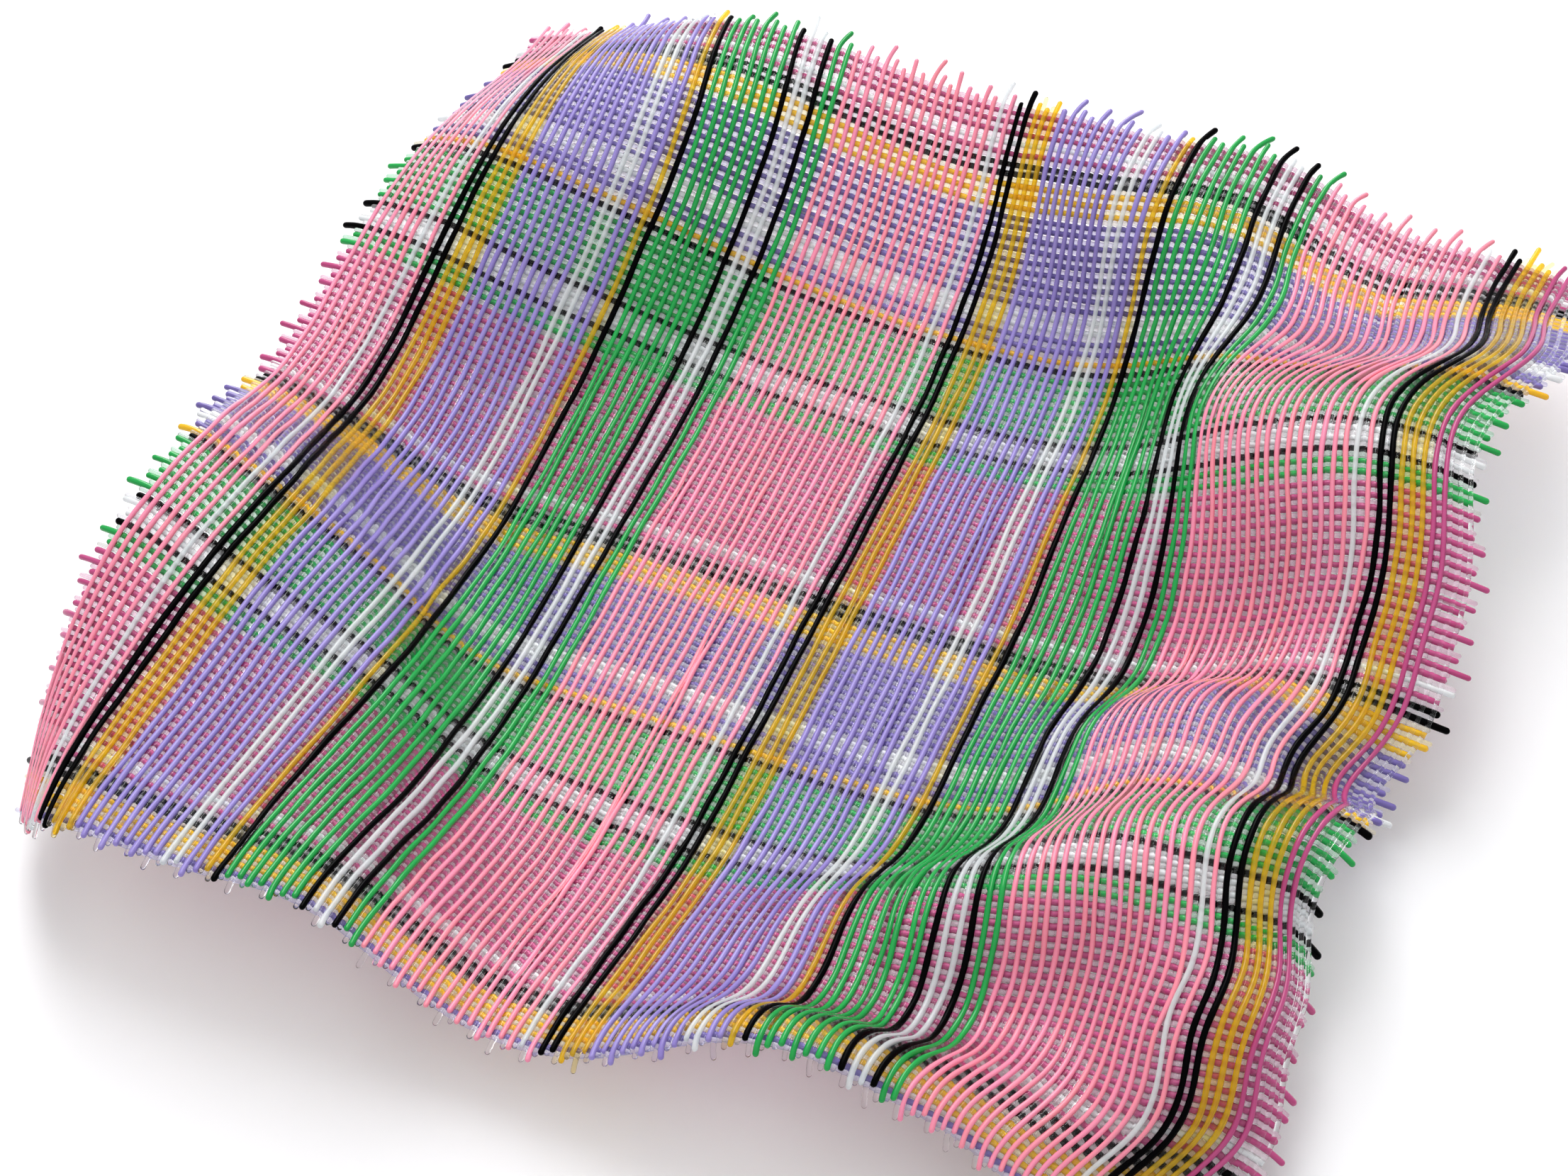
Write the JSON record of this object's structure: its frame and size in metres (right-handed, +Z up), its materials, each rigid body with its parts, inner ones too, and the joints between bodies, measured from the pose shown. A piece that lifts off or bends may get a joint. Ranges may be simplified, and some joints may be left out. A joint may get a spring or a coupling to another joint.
{
  "type": "plaid strand sheet",
  "caption": "Stiff wavy sheet of crossed glossy plastic strands in a tartan of pink, green, lavender, yellow, white, black and clear, standing on its own folds.",
  "frame": {"origin": "middle of the overall box, on the surface that the sheet rests on", "axes": "+X along the lower strands (weft), left to right; +Y along the upper strands (warp), from the near edge to the far edge; +Z up"},
  "size_m": [0.3014, 0.3038, 0.0489],
  "materials": {
    "pink": "gloss",
    "rose": "gloss",
    "green": "gloss",
    "lavender": "gloss",
    "yellow": "gloss",
    "white": "gloss",
    "black": "gloss",
    "clear": "gloss"
  },
  "bodies": {
    "root": {"warp_clear_1": "clear", "warp_clear_2": "clear", "warp_clear_3": "clear", "warp_clear_4": "clear", "warp_clear_5": "clear", "warp_clear_6": "clear", "warp_clear_7": "clear", "warp_clear_8": "clear", "warp_left_black": "black", "warp_left_green": "green", "warp_left_lavender": "lavender", "warp_left_pink": "pink", "warp_left_white": "white", "warp_left_yellow": "yellow", "warp_middle_black": "black", "warp_middle_green": "green", "warp_middle_lavender": "lavender", "warp_middle_pink": "pink", "warp_middle_white": "white", "warp_middle_yellow": "yellow", "warp_right_black": "black", "warp_right_pink": "pink", "warp_right_rose": "rose", "warp_right_white": "white", "warp_right_yellow": "yellow", "weft_clear_film": "clear", "weft_far_black": "black", "weft_far_green": "green", "weft_far_lavender": "lavender", "weft_far_rose": "rose", "weft_far_white": "white", "weft_far_yellow": "yellow", "weft_middle_black": "black", "weft_middle_green": "green", "weft_middle_lavender": "lavender", "weft_middle_rose": "rose", "weft_middle_white": "white", "weft_middle_yellow": "yellow", "weft_near_black": "black", "weft_near_lavender": "lavender", "weft_near_rose": "rose", "weft_near_white": "white", "weft_near_yellow": "yellow"}
  },
  "joints": []
}
